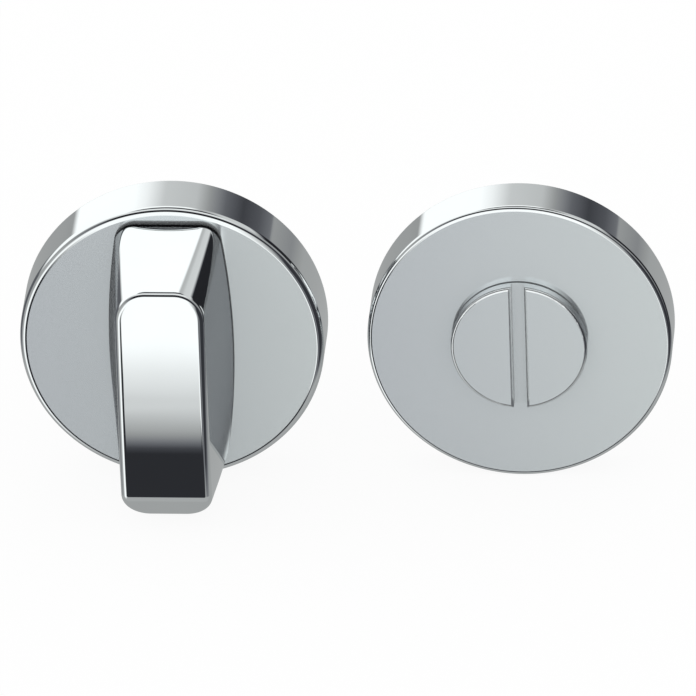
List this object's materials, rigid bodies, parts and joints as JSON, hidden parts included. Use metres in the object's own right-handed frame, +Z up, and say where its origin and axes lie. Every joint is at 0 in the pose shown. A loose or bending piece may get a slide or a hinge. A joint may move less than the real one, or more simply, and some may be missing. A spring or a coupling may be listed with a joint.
{
  "type": "bathroom thumb turn lock",
  "caption": "Round chromed bathroom lock set: a thumb turn with its square spindle on one rose, and a slotted coin release on the other.",
  "frame": {"origin": "on the axis of the thumb turn, in the plane of the door's face", "axes": "+Z up, +Y into the door, the roses face -Y, the release half stands at +X"},
  "size_m": [0.107, 0.0685, 0.05],
  "materials": {
    "cover_chrome": "satin-bright chrome plate on pressed brass",
    "turn_chrome": "polished chrome plate on zinc casting",
    "cast_zinc": "bare zinc die casting, matt",
    "bearing_plastic": "natural acetal",
    "spring_steel": "oiled spring steel",
    "plated_steel": "bright zinc-plated steel"
  },
  "bodies": {
    "root": {"turn_rose_cover": "cover_chrome", "turn_rose_base": "cast_zinc", "turn_cover_ring": "spring_steel", "turn_fixing_bolts": "plated_steel", "turn_bush": "bearing_plastic", "turn_spring_washer": "spring_steel", "release_rose_cover": "cover_chrome", "release_rose_base": "cast_zinc", "release_cover_ring": "spring_steel", "release_threaded_posts": "plated_steel", "release_bush": "bearing_plastic", "release_spring_washer": "spring_steel"},
    "thumb_turn_body": {"thumb_turn": "turn_chrome", "spindle": "plated_steel", "spindle_roll_pin": "spring_steel", "turn_flat_washer": "plated_steel", "turn_circlip": "spring_steel"},
    "release_body": {"release_disc": "turn_chrome", "release_flat_washer": "plated_steel", "release_circlip": "spring_steel"}
  },
  "joints": [
    {"name": "turn_pivot", "type": "hinge", "parent": "root", "child": "thumb_turn_body", "pos_m": [0, 0, 0], "axis": [0, 1, 0], "range_deg": [0, 90]},
    {"name": "release_pivot", "type": "hinge", "parent": "root", "child": "release_body", "pos_m": [0.057, 0, 0], "axis": [0, -1, 0], "range_deg": [0, 90]}
  ]
}
